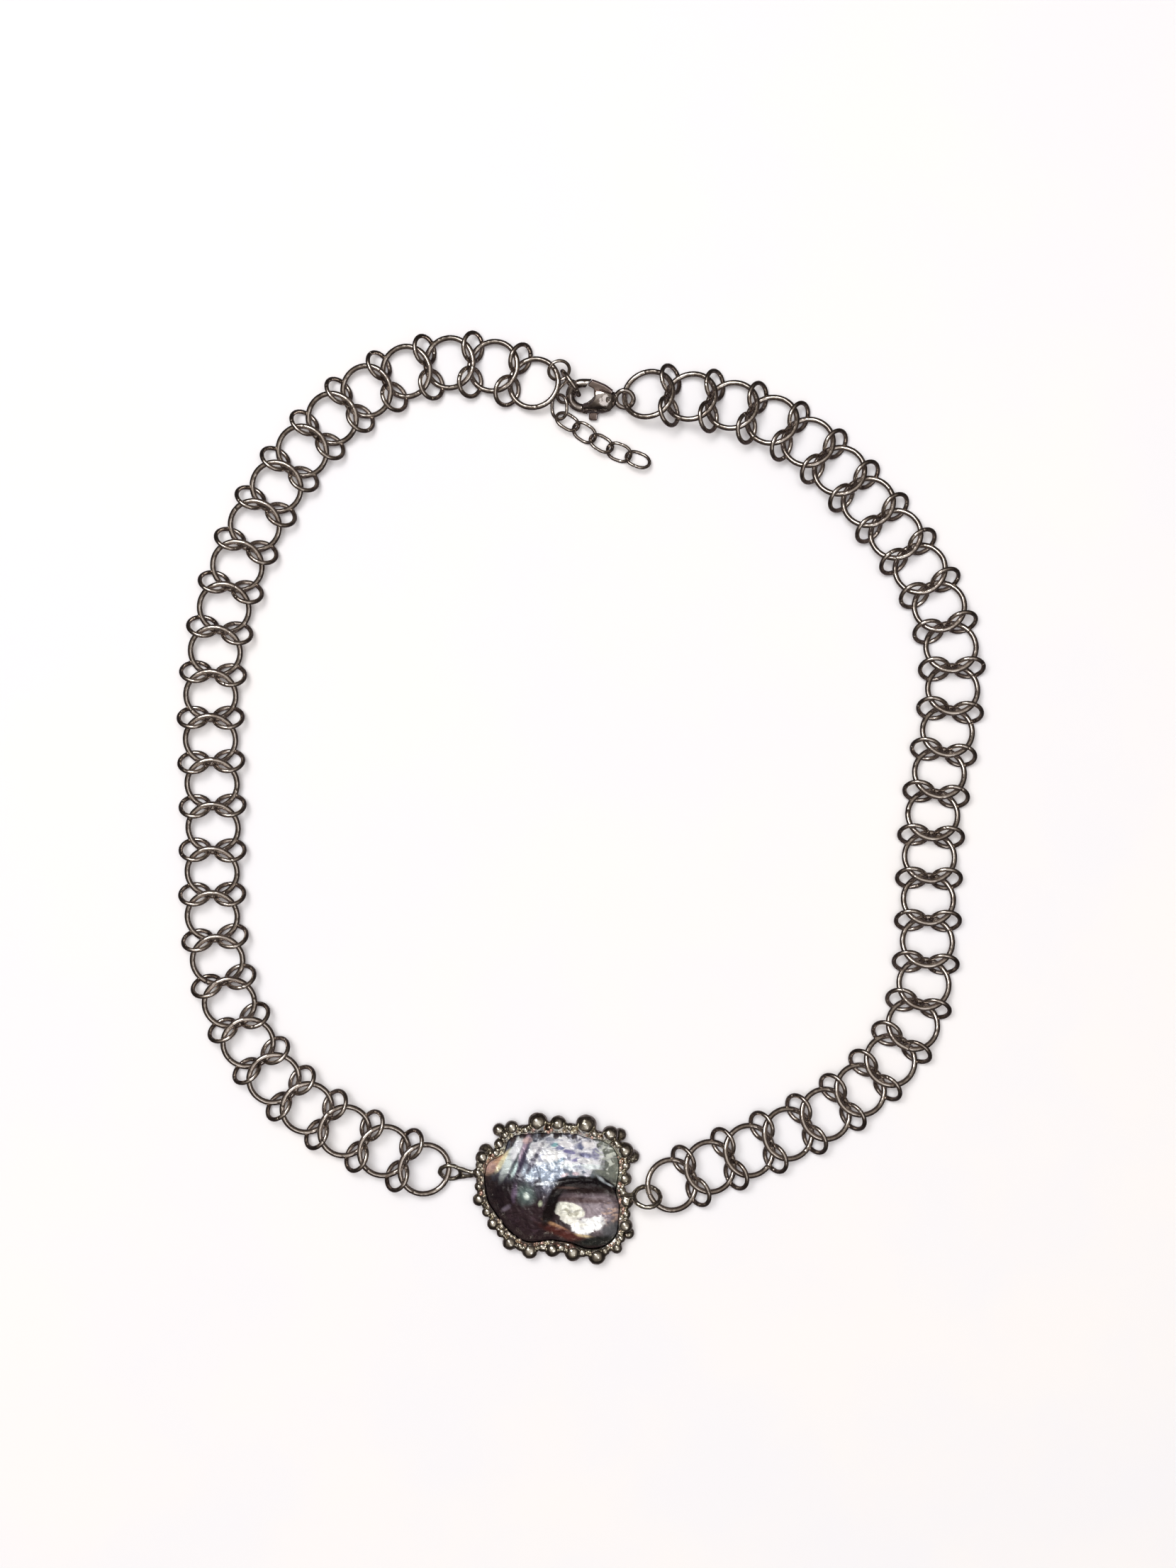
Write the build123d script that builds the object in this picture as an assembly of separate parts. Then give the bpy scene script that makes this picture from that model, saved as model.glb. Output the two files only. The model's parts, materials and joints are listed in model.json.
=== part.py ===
from build123d import *
import math
import os

# Chain rings of round wire, sized over the outside of the ring
large_ring_diameter = 10.0
large_wire = 1.0
small_ring_diameter = 6.0
small_wire = 0.8

# Spacing of the large rings along each strand, and how the rings lean
left_pitch = 7.95
right_pitch = 7.65
large_ring_slope = 17.0
left_small_slope = 46.5
right_small_slope = 49.0
steepest_small_slope = 51.0
small_slope_per_bend = 0.27
small_ring_across = 3.15
end_rings_count = 8

# Routes of the two strands over the surface, from clasp to pendant and from pendant to clasp
left_route = [
    (-8.5, 74.3), (-20.5, 78.0), (-32.6, 76.0), (-50.3, 62.0), (-61.7, 42.0), (-66.7, 18.3),
    (-66.3, -6.0), (-66.3, -24.0), (-62.9, -38.4), (-54.4, -51.9), (-41.2, -61.1), (-28.2, -67.2),
]
right_route = [
    (16.3, -70.1), (26.9, -65.3), (37.9, -60.6), (51.0, -52.4), (59.4, -42.0), (62.4, -24.8), (63.5, -1.9),
    (66.4, 14.4), (66.7, 26.0), (61.5, 40.1), (50.5, 54.2), (38.7, 65.1), (28.2, 69.9), (12.1, 72.2),
]

# Extender: oval links of round wire, each reaching from one joint to the next
first_joints = [(-1.2, 74.0, 1.35), (-3.88, 71.75, 1.85)]
later_joints = [(-4.0, 68.45), (-0.95, 66.5), (2.1, 64.5), (5.15, 62.6), (8.5, 61.3), (11.9, 59.95)]
link_length = 5.0
link_width = 4.2
link_wire = 0.6
link_roll = 42.0

# Jump ring at the end of the left strand
jump_ring_diameter = 4.4
jump_ring_wire = 0.6
jump_ring_middle = (-4.0, 76.48, 3.48)
jump_ring_heading = 21.0
jump_ring_roll = 35.0

# The ring between the jump ring and the clasp's hook, standing on edge
clip_ring_middle = (-1.91, 74.19, 3.45)
clip_ring_heading = -55.0
clip_ring_roll = 89.0

# Pendant: the pearl's outline is given by its reach from the middle, as shares of its half width
pendant_middle = (-5.0, -70.8)
pearl_half_width = 12.0
pearl_reach_rows = [
    # bearing, share of the half width
    (0, 0.93), (25, 1.06), (36, 1.075), (60, 0.90), (90, 0.825), (112, 0.875), (128, 1.00), (147, 0.91),
    (160, 1.067), (180, 1.017), (212, 0.917), (235, 0.90), (270, 0.758), (288, 0.85), (302, 1.04),
    (318, 1.19), (336, 1.067),
]
outline_step = 12
pearl_edge_height = 2.4
pearl_dome_height = 3.6
pearl_dome_power = 2.5
pearl_ridge_height = 0.7
pearl_ridge_thickness = 0.17
pearl_ridge_fade = 3
pearl_ridge_tilt = 0.1
pearl_hollow_depth = 1.9
pearl_hollow_core = 0.8
pearl_hollow_steepness = 4
pearl_hollow_middle = (4.6, -3.4)
pearl_hollow_half_length = 6.4
pearl_hollow_half_width = 5.4
pearl_skirt_share = 1.12
pearl_grid_step = 0.7
pearl_grid_reach = (13.6, 12.4)
seat_gap = 0.1

# Pendant frame: back plate, bezel wall, solder shoulder and solder balls
back_thickness = 1.0
bezel_wall = 0.6
bezel_height = 3.0
shoulder_width = 1.7
shoulder_height = 1.8
shoulder_round = 0.72
ball_gap = 0.15
upper_ball_height = 2.7
lower_ball_height = 1.35
lower_ball_outset = 1.1
ball_rows = [
    # bearing, diameter, row
    (124, 2.6, "upper"), (115, 1.8, "upper"), (103, 3.6, "upper"), (86, 3.1, "upper"), (75, 1.7, "upper"),
    (63, 3.8, "upper"), (53, 1.8, "upper"), (44, 3.1, "upper"), (39, 2.4, "lower"), (28, 3.2, "upper"),
    (35, 1.7, "upper"), (22, 2.6, "lower"), (18, 1.9, "upper"), (8, 2.5, "upper"), (-1, 1.7, "upper"),
    (-10, 2.6, "upper"), (-19, 1.8, "upper"), (-27, 2.7, "upper"), (-31, 2.2, "lower"), (-36, 1.7, "upper"),
    (-43, 2.1, "upper"), (-50, 1.7, "upper"), (-57, 3.2, "upper"), (-65, 1.9, "upper"), (-73, 3.1, "upper"),
    (-82, 1.8, "upper"), (-91, 2.9, "upper"), (-101, 1.8, "upper"), (-111, 2.9, "upper"),
    (-120, 1.8, "upper"), (-129, 2.7, "upper"), (-140, 1.9, "upper"), (-150, 2.4, "upper"),
    (-161, 1.9, "upper"), (-172, 2.4, "upper"), (178, 1.8, "upper"), (168, 2.0, "upper"),
    (162, 1.7, "upper"), (156, 2.6, "upper"), (151, 2.6, "lower"), (148, 1.9, "upper"),
    (140, 2.2, "upper"), (133, 2.4, "lower"), (132, 1.7, "upper"),
]

# Wire loops soldered to the sides of the frame, placed from the pendant's middle, with their feet
# at a bearing and a distance outside the pearl
left_loop_diameter = 4.6
left_loop_wire = 0.85
left_loop_middle = (-18.6, 2.95)
left_foot_bearing = 169.2
left_foot_outset = 1.3
left_loop_legs = (50, -50)
left_leg_wire = 0.8
right_loop_diameter = 5.6
right_loop_wire = 0.9
right_loop_middle = (16.85, -1.25)
right_foot_bearing = -4.3
right_foot_outset = 0.75
right_loop_legs = (0,)
right_leg_wire = 1.1
right_loop_rise = 0.25
loop_roll = 45.0

# Lobster clasp, measured from the middle of its eye: along to the hook, across to the gate
clasp_roll = 23.0
clasp_pitch = 4.0
ring_roll_at_clasp = 21.0
eye_bearing = 3.0
eye_diameter = 4.1
eye_wire = 0.9
clasp_thickness = 2.8
clasp_lens_across = 5.1
clasp_lens_along = 9.9
clasp_lens_middle = 5.2
cheek_outline = [
    (1.6, 0.95), (2.9, 1.35), (4.0, 1.75), (5.15, 1.75), (5.3, 0.3), (6.1, -0.6), (6.9, -1.15),
    (7.6, -1.3), (7.6, -2.65), (6.0, -2.95), (4.4, -2.85), (2.6, -2.05), (1.6, -0.95),
]
cheek_corner = 0.2
slot_start = 2.0
slot_end = 6.7
slot_width = 1.3
cut_length = 40.0
hook_middle = (7.5, 0.45)
hook_radius = 2.35
hook_wire = 1.6
hook_arm = 1.6
pin_place = (3.0, 0.2)
pin_diameter = 0.8
pin_length = 2.3
pin_clearance = 0.05
hub_diameter = 1.9
lever_side_gap = 0.1
gate_reach = 4.3
gate_gap = 0.12
gate_outline = [
    (2.3, 0.6), (2.1, 1.55), (3.4, 2.5), (4.8, 3.1), (5.8, 3.45), (7.5, 3.4), (7.5, 3.0), (5.5, 1.9),
    (5.5, 0.6), (4.6, -0.4), (3.2, -0.5),
]
tab_outline = [
    (3.0, -0.7), (4.0, 0.3), (5.3, -1.4), (6.4, -2.9), (6.4, -4.0), (4.9, -4.0), (4.8, -2.9), (3.6, -1.6),
]
lever_corner = 0.2

# Radii of the wires' middle lines
large_radius = (large_ring_diameter - large_wire) / 2
small_radius = (small_ring_diameter - small_wire) / 2
jump_radius = (jump_ring_diameter - jump_ring_wire) / 2
left_loop_radius = (left_loop_diameter - left_loop_wire) / 2
right_loop_radius = (right_loop_diameter - right_loop_wire) / 2
eye_radius = (eye_diameter - eye_wire) / 2
up = Vector(0, 0, 1)


def sine(degrees):
    return math.sin(math.radians(degrees))


def cosine(degrees):
    return math.cos(math.radians(degrees))


def heading(degrees):
    return Vector(cosine(degrees), sine(degrees), 0)


def flat(along):
    return Vector(along.X, along.Y, 0).normalized()


def climb_angle(start, end):
    return math.degrees(math.atan2(end.Z - start.Z, math.hypot(end.X - start.X, end.Y - start.Y)))


def leaning_plane(middle, along, slope, roll=0.0):
    """A plane through middle that climbs by slope along its heading and is rolled about that heading."""
    forward = flat(along)
    side = up.cross(forward)
    top = up * cosine(roll) - side * sine(roll)
    x_dir = forward * cosine(slope) + top * sine(slope)
    z_dir = top * cosine(slope) - forward * sine(slope)
    return Plane(origin=middle, x_dir=x_dir, z_dir=z_dir)


def on_circle(plane, radius, bearing):
    """A point on a circle in the plane, at a bearing from the plane's own heading."""
    return plane.from_local_coords((radius * cosine(bearing), radius * sine(bearing), 0))


def wire_ring(plane, radius, wire):
    return plane * Torus(radius, wire / 2)


# The small rings touch the surface, and the large rings are carried in them
rest_height = small_radius * sine(steepest_small_slope) + small_wire / 2
ring_end_drop = large_radius * sine(large_ring_slope)


def end_share(index, last):
    """1 at the last ring of a strand, falling to 0 over the rings before it."""
    return max(0.0, 1 - (last - index) / end_rings_count)


def strand_planes(route, pitch, small_slope, start_lift, end_lift, end_roll):
    """The planes of a strand's large rings and, between each two, of its pair of small rings."""
    line = Spline(*route)
    steps = round(line.length / pitch)
    points = []
    tangents = []
    rolls = []
    for index in range(steps + 1):
        near_end = end_share(index, steps)
        near_start = end_share(steps - index, steps)
        point = line @ (index / steps)
        lift = start_lift * near_start + end_lift * near_end
        points.append(Vector(point.X, point.Y, rest_height + lift))
        tangents.append(line % (index / steps))
        rolls.append(end_roll * near_end)
    large = []
    for index in range(steps + 1):
        climb = climb_angle(points[max(index - 1, 0)], points[min(index + 1, steps)])
        large.append(leaning_plane(points[index], tangents[index], climb - large_ring_slope, rolls[index]))
    small = []
    for index in range(steps):
        first = points[index]
        second = points[index + 1]
        climb = climb_angle(first, second)
        bend = tangents[index].get_signed_angle(tangents[index + 1], up)
        twist = rolls[index + 1] - rolls[index]
        roll = (rolls[index + 1] + rolls[index]) / 2
        side = up.cross(flat(second - first)) * cosine(roll) + up * sine(roll)
        for hand in (1, -1):
            middle = (first + second) * 0.5 + side * (hand * small_ring_across)
            slope = small_slope + climb + hand * (twist - small_slope_per_bend * bend)
            small.append(leaning_plane(middle, second - first, slope, roll))
    return large, small


def strand_solids(large, small):
    solids = [wire_ring(plane, large_radius, large_wire) for plane in large]
    solids += [wire_ring(plane, small_radius, small_wire) for plane in small]
    return solids


# Heights of the strands' ends: the left loop clears the surface, and the small rings of the
# twisted end at the clasp still lie on it
left_loop_height = left_loop_radius * sine(loop_roll) + left_loop_wire / 2 + seat_gap
left_end_lift = left_loop_height - (rest_height - ring_end_drop)
twisted_lean = math.sqrt(1 - (cosine(steepest_small_slope) * cosine(ring_roll_at_clasp)) ** 2)
twisted_drop = small_ring_across * sine(ring_roll_at_clasp)
right_end_lift = small_radius * twisted_lean + small_wire / 2 + twisted_drop - rest_height

left_large, left_small = strand_planes(left_route, left_pitch, left_small_slope, 0.0, left_end_lift, 0.0)
right_large, right_small = strand_planes(
    right_route, right_pitch, right_small_slope, 0.0, right_end_lift, ring_roll_at_clasp
)
right_loop_height = right_large[0].origin.Z + ring_end_drop + right_loop_rise


def pearl_reach(bearing):
    """Reach of the pearl's outline from its middle, smooth between the rows of the table."""
    bearing = bearing % 360
    rows = pearl_reach_rows + [(360 + pearl_reach_rows[0][0], pearl_reach_rows[0][1])]
    for (first, low), (second, high) in zip(rows, rows[1:]):
        if first <= bearing <= second:
            share = (bearing - first) / (second - first)
            blend = (1 - math.cos(math.pi * share)) / 2
            return pearl_half_width * (low + (high - low) * blend)
    return pearl_half_width


def outline_face(outset):
    """The pearl's outline moved outwards, as a face about the pendant's middle."""
    points = []
    for bearing in range(0, 360, outline_step):
        points.append(heading(bearing) * (pearl_reach(bearing) + outset))
    return make_face(Spline(*points, periodic=True))


def pearl_height(x, y):
    """Height of the pearl's face: a dome with an arched ridge round the top of a hollow."""
    reach = pearl_reach(math.degrees(math.atan2(y, x)))
    share = math.hypot(x, y) / reach
    dome = pearl_dome_height * (1 - min(share, pearl_skirt_share) ** pearl_dome_power)
    across = (x - pearl_hollow_middle[0]) / pearl_hollow_half_length
    up_the_face = (y - pearl_hollow_middle[1]) / pearl_hollow_half_width
    distance = math.hypot(across, up_the_face)
    hollow = pearl_hollow_depth * math.exp(-((distance / pearl_hollow_core) ** pearl_hollow_steepness))
    upper = 0.5 + 0.5 * math.tanh(pearl_ridge_fade * (up_the_face - pearl_ridge_tilt * across))
    ridge = pearl_ridge_height * upper * math.exp(-(((distance - 1) / pearl_ridge_thickness) ** 2))
    return pearl_edge_height + dome - hollow + ridge


def make_pearl():
    columns = math.ceil(pearl_grid_reach[0] / pearl_grid_step)
    rows = math.ceil(pearl_grid_reach[1] / pearl_grid_step)
    grid = []
    for row in range(-rows, rows + 1):
        y = row * pearl_grid_step
        line = []
        for column in range(-columns, columns + 1):
            x = column * pearl_grid_step
            line.append(Vector(x, y, pearl_height(x, y)))
        grid.append(line)
    top = Face.make_surface_from_array_of_points(grid, tol=0.1, min_deg=3, max_deg=3)
    floor = back_thickness + seat_gap
    tall = pearl_edge_height + 2 * pearl_dome_height
    blank = Pos(0, 0, floor) * extrude(outline_face(0), tall)
    return blank.split(top, keep=Keep.TOP)


def rod(start, end, wire):
    along = end - start
    bottom = (Align.CENTER, Align.CENTER, Align.MIN)
    return Plane(origin=start, z_dir=along) * Cylinder(wire / 2, along.length, align=bottom)


def loop_foot(bearing, outset):
    """Where a loop's legs meet inside the frame."""
    return heading(bearing) * (pearl_reach(bearing) + outset) + up * upper_ball_height


def side_loop(middle, height, radius, wire, foot, legs, leg_wire):
    """A loop for the end ring of a strand, with legs that run to a foot inside the frame."""
    middle = Vector(*middle, height)
    plane = leaning_plane(middle, foot - middle, 0.0, loop_roll)
    loop = wire_ring(plane, radius, wire)
    for bearing in legs:
        loop += rod(on_circle(plane, radius, bearing), foot, leg_wire)
    return loop


def make_left_loop():
    foot = loop_foot(left_foot_bearing, left_foot_outset)
    return side_loop(
        left_loop_middle, left_loop_height, left_loop_radius, left_loop_wire, foot, left_loop_legs,
        left_leg_wire,
    )


def make_right_loop():
    foot = loop_foot(right_foot_bearing, right_foot_outset)
    return side_loop(
        right_loop_middle, right_loop_height, right_loop_radius, right_loop_wire, foot, right_loop_legs,
        right_leg_wire,
    )


def make_frame():
    """Back plate, bezel wall, solder balls and side loops as one soldered piece."""
    plate = extrude(outline_face(shoulder_width), shoulder_height)
    plate = fillet(plate.edges().group_by(Axis.Z)[-1], shoulder_round)
    wall = extrude(outline_face(seat_gap + bezel_wall), bezel_height)
    frame = plate + wall
    balls = []
    for bearing, diameter, row in ball_rows:
        outset = seat_gap + ball_gap + diameter / 2
        height = upper_ball_height
        if row == "lower":
            outset += lower_ball_outset
            height = lower_ball_height
        outward = heading(bearing)
        middle = outward * (pearl_reach(bearing) + outset) + up * height
        balls.append(Plane(origin=middle, x_dir=up, z_dir=outward) * Sphere(diameter / 2))
    pocket = Pos(0, 0, back_thickness) * extrude(outline_face(seat_gap), 2 * bezel_height)
    frame = frame + balls - pocket
    return frame + (make_left_loop() - pocket) + (make_right_loop() - pocket)


def slab(outline, corner, thickness):
    """A plate with rounded corners, half of it each side of the plane."""
    face = make_face(Polyline(*outline, close=True))
    face = fillet(face.vertices(), corner)
    return extrude(face, thickness / 2, both=True)


def make_clasp_body():
    """Eye, a pair of cheeks with the lever's slot between them, and hook."""
    cheeks = slab(cheek_outline, cheek_corner, clasp_thickness)
    for hand in (1, -1):
        across = Plane.YZ * Cylinder(clasp_lens_across, cut_length)
        along = Plane.XZ * Cylinder(clasp_lens_along, cut_length)
        cheeks &= Pos(0, 0, hand * (clasp_thickness / 2 - clasp_lens_across)) * across
        cheeks &= Pos(clasp_lens_middle, 0, hand * (clasp_thickness / 2 - clasp_lens_along)) * along
    cheeks -= Pos((slot_start + slot_end) / 2, 0, 0) * Box(slot_end - slot_start, cut_length, slot_width)
    eye = Torus(eye_radius, eye_wire / 2)
    bend = Pos(*hook_middle) * Rot(0, 0, -90) * Torus(hook_radius, hook_wire / 2, major_angle=180, align=None)
    arm_start = Vector(hook_middle[0], hook_middle[1] + hook_radius, 0)
    arm = rod(arm_start, arm_start - Vector(hook_arm, 0, 0), hook_wire)
    arm -= Pos(*pin_place) * Cylinder(gate_reach + gate_gap, clasp_thickness)
    return cheeks + eye + bend + arm - make_pin()


def make_lever():
    """Gate, hub and thumb tab of the clasp, turning on the pin."""
    thickness = slot_width - 2 * lever_side_gap
    gate = slab(gate_outline, lever_corner, thickness) & Pos(*pin_place) * Cylinder(gate_reach, thickness)
    tab = slab(tab_outline, lever_corner, thickness)
    hub = Pos(*pin_place) * Cylinder(hub_diameter / 2, thickness)
    bore = Pos(*pin_place) * Cylinder(pin_diameter / 2 + pin_clearance, thickness)
    return gate + tab + hub - bore


def make_pin():
    return Pos(*pin_place) * Cylinder(pin_diameter / 2, pin_length)


def oval_link(start, end, roll):
    """A link of round wire whose bends go just past the joints at its two ends."""
    straight = link_length - link_width
    radius = (link_width - link_wire) / 2
    bends = []
    for hand in (1, -1):
        bend = Rot(0, 0, -90 * hand) * Torus(radius, link_wire / 2, major_angle=180, align=None)
        bends.append(Pos(hand * straight / 2, 0, 0) * bend)
        side_start = Vector(-straight / 2, hand * radius, 0)
        bends.append(rod(side_start, side_start + Vector(straight, 0, 0), link_wire))
    link = bends[0] + bends[1:]
    return leaning_plane((start + end) * 0.5, end - start, climb_angle(start, end), roll) * link


def extender_joints():
    lying_height = (link_width - link_wire) / 2 * sine(link_roll) + link_wire / 2
    raised = [Vector(*joint) for joint in first_joints]
    lying = [Vector(*joint, lying_height) for joint in later_joints]
    return raised + lying


def make_extender():
    joints = extender_joints()
    links = []
    for index in range(len(joints) - 1):
        roll = -link_roll if index % 2 == 0 else link_roll
        links.append(oval_link(joints[index], joints[index + 1], roll))
    return links


# Planes of the clasp and of the rings by its hook
eye_middle = on_circle(right_large[-1], large_radius, eye_bearing)
clasp_plane = leaning_plane(eye_middle, heading(180), clasp_pitch, 180 - clasp_roll)
jump_plane = leaning_plane(Vector(*jump_ring_middle), heading(jump_ring_heading), 0.0, jump_ring_roll)
clip_plane = leaning_plane(Vector(*clip_ring_middle), heading(clip_ring_heading), 0.0, clip_ring_roll)


def main():
    pendant = Pos(*pendant_middle)
    parts = {
        "chain_left": Compound(strand_solids(left_large, left_small)),
        "chain_right": Compound(strand_solids(right_large, right_small)),
        "pendant_frame": pendant * make_frame(),
        "pearl": pendant * make_pearl(),
        "clasp_body": clasp_plane * make_clasp_body(),
        "clasp_lever": clasp_plane * make_lever(),
        "clasp_pin": clasp_plane * make_pin(),
        "end_rings": Compound([
            wire_ring(jump_plane, jump_radius, jump_ring_wire),
            wire_ring(clip_plane, small_radius, small_wire),
        ]),
        "extender_chain": Compound(make_extender()),
    }
    box = Compound(list(parts.values())).bounding_box()
    middle = box.center()
    to_origin = Pos(-middle.X, -middle.Y, -box.min.Z)
    os.makedirs("parts", exist_ok=True)
    for name, shape in parts.items():
        export_step(to_origin * shape, f"parts/{name}.step")


if __name__ == "__main__":
    main()
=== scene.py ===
import json
import logging
import math
import random
from dataclasses import dataclass
from enum import Enum

import bpy
import numpy as np
from mathutils import Matrix, Vector, noise


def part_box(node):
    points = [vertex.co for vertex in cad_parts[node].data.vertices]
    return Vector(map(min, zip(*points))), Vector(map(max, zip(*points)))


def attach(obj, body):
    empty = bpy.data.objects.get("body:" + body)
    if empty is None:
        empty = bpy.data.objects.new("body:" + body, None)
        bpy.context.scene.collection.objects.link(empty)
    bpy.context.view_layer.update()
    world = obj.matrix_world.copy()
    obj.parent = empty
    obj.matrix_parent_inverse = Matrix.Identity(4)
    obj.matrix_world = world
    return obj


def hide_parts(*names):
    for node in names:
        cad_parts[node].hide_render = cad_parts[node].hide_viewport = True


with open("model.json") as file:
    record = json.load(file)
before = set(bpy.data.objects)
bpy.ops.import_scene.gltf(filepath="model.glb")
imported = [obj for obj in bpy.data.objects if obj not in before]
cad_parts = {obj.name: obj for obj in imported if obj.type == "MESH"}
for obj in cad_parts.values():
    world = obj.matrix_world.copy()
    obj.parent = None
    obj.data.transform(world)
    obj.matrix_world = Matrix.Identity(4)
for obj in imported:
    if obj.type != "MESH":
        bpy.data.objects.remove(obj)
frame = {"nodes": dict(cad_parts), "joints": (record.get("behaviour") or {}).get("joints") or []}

log = logging.getLogger("necklace")

Piece = bpy.types.Object
Material = bpy.types.Material
Node = bpy.types.Node
Socket = bpy.types.NodeSocket
Tree = bpy.types.NodeTree
Triple = tuple[float, float, float]
Colour = Triple
Span = tuple[float, float]

# Pieces are modelled in millimetres and brought to metres when they are finished
MM = 1000.0
FULL_TURN = 2 * math.pi

# Vertices of a node's copy that are nearer than this, in millimetres, become one
MERGE_DISTANCE = 0.0005
# A node's loose solids are told apart by vertices that agree to this share of a millimetre
SHARED_STEPS = 1000

# Middles of the pendant and of the camera's view, in metres
PENDANT_MIDDLE = Vector((-0.005, -0.0705, 0.0))
VIEW_MIDDLE = Vector((0.00122, 0.00243, 0.0))

# Numbers of the Mix node's sockets, for plain values and for colours
MIX_SHARE = 0
MIX_VALUES = (2, 3)
MIX_COLOURS = (6, 7)
MIXED_VALUE = 0
MIXED_COLOUR = 2


class Body(Enum):
    """The two bodies that pieces ride on."""

    NECKLACE = "necklace"
    LEVER = "lever"


class Slot(Enum):
    """The record's material slots."""

    RINGS = "steel_rings"
    FRAME = "soldered_frame"
    PEARL = "pearl"
    CLASP = "clasp"
    EXTENDER = "extender"


# Mesh tools

def deselect_all() -> None:
    """Leaves no object selected."""
    if bpy.context.object and bpy.context.object.mode != "OBJECT":
        bpy.ops.object.mode_set(mode="OBJECT")
    bpy.ops.object.select_all(action="DESELECT")


def take(piece: Piece) -> None:
    """Makes one piece the only selected and the active one.

    Args:
        piece: The piece to work on.
    """
    deselect_all()
    piece.select_set(True)
    bpy.context.view_layer.objects.active = piece


def open_mesh(piece: Piece) -> None:
    """Enters edit mode on a piece, with all its faces selected.

    Args:
        piece: The piece to shape.
    """
    take(piece)
    bpy.ops.object.mode_set(mode="EDIT")
    bpy.ops.mesh.select_mode(type="FACE")
    bpy.ops.mesh.select_all(action="SELECT")


def close_mesh() -> None:
    """Leaves edit mode."""
    bpy.ops.object.mode_set(mode="OBJECT")


def apply_modifier(piece: Piece, kind: str, **settings: object) -> None:
    """Adds a modifier with its settings and applies it.

    Args:
        piece: The piece to change.
        kind: Blender's name for the modifier's type.
        **settings: The modifier's properties.
    """
    take(piece)
    modifier = piece.modifiers.new(kind.title(), kind)
    for name, value in settings.items():
        setattr(modifier, name, value)
    bpy.ops.object.modifier_apply(modifier=modifier.name)


def merged_copy(node: str, name: str) -> Piece:
    """Copies a node of the frame into a closed mesh in millimetres.

    Args:
        node: The node's name.
        name: The new piece's name.

    Returns:
        The copy, with its doubles merged and its stored normals cleared.
    """
    mesh = frame["nodes"][node].data.copy()
    mesh.transform(Matrix.Scale(MM, 4))
    piece = bpy.data.objects.new(name, mesh)
    bpy.context.scene.collection.objects.link(piece)
    mesh.materials.clear()
    open_mesh(piece)
    bpy.ops.mesh.remove_doubles(threshold=MERGE_DISTANCE)
    close_mesh()
    bpy.ops.mesh.customdata_custom_splitnormals_clear()
    return piece


def joined(pieces: list[Piece], name: str) -> Piece:
    """Joins pieces into one.

    Args:
        pieces: The pieces, each with its own mesh.
        name: The name of the joined piece.

    Returns:
        The joined piece.
    """
    take(pieces[0])
    for piece in pieces:
        piece.select_set(True)
    bpy.ops.object.join()
    whole = bpy.context.object
    whole.name = name
    whole.data.name = name
    return whole


def stamped(master: Piece, place: Matrix) -> Piece:
    """Copies a master piece, with a mesh of its own, to a place.

    Args:
        master: The piece to copy, modelled about the origin.
        place: Where the copy goes.

    Returns:
        The copy, with its place in its mesh.
    """
    copy = master.copy()
    copy.data = master.data.copy()
    copy.data.transform(place)
    bpy.context.scene.collection.objects.link(copy)
    return copy


def discard(master: Piece) -> None:
    """Deletes a master that is no longer needed."""
    bpy.data.objects.remove(master, do_unlink=True)


def shade(piece: Piece, crease: float | None = None) -> None:
    """Shades a piece smooth, or smooth up to a crease.

    Args:
        piece: The piece to shade.
        crease: The widest angle that stays smooth, in degrees. None smooths every edge.
    """
    take(piece)
    if crease is None:
        bpy.ops.object.shade_smooth()
    else:
        bpy.ops.object.shade_smooth_by_angle(angle=math.radians(crease))


def vectors_of(rows: bpy.types.bpy_prop_collection, name: str) -> np.ndarray:
    """Reads a vector from every row of a mesh's data.

    Args:
        rows: The rows, such as the vertices.
        name: The vector's name in a row.

    Returns:
        The vectors, one row each.
    """
    vectors = np.empty(len(rows) * 3, np.float32)
    rows.foreach_get(name, vectors)
    return vectors.reshape(-1, 3)


def points_of(piece: Piece) -> np.ndarray:
    """The places of a mesh's vertices, one row each."""
    return vectors_of(piece.data.vertices, "co")


def normals_of(piece: Piece) -> np.ndarray:
    """The normals of a mesh's vertices, one row each."""
    return vectors_of(piece.data.vertex_normals, "vector")


def move_points(piece: Piece, points: np.ndarray) -> None:
    """Writes the places of a mesh's vertices."""
    piece.data.vertices.foreach_set("co", points.astype(np.float32).ravel())
    piece.data.update()


def hand_over(piece: Piece, body: Body, finish: Material, replaced: tuple[str, ...] = ()) -> Piece:
    """Brings a finished piece to metres, dresses it and gives it to its body.

    Args:
        piece: The piece, in millimetres.
        body: The body that it moves with.
        finish: Its material.
        replaced: The nodes that it stands for.

    Returns:
        The piece.
    """
    piece.data.transform(Matrix.Scale(1 / MM, 4))
    piece.data.materials.clear()
    piece.data.materials.append(finish)
    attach(piece, body.value)
    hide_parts(*replaced)
    piece.data.calc_loop_triangles()
    log.info("%s: %d triangles", piece.name, len(piece.data.loop_triangles))
    return piece


# Rings and links as they lie in the frame

@dataclass(frozen=True)
class Lie:
    """How one loop of wire lies: its middle, long axis, normal, length, width and wire."""

    middle: Vector
    along: Vector
    normal: Vector
    length: float
    width: float
    wire: float

    def matrix(self, turn: float = 0.0) -> Matrix:
        """The place of a copy whose own x axis is turned away from the long axis.

        Args:
            turn: Turn about the normal, in radians.

        Returns:
            The copy's place.
        """
        x_axis = Matrix.Rotation(turn, 3, self.normal) @ self.along
        y_axis = self.normal.cross(x_axis)
        rotation = Matrix((x_axis, y_axis, self.normal)).transposed()
        return Matrix.Translation(self.middle) @ rotation.to_4x4()


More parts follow.
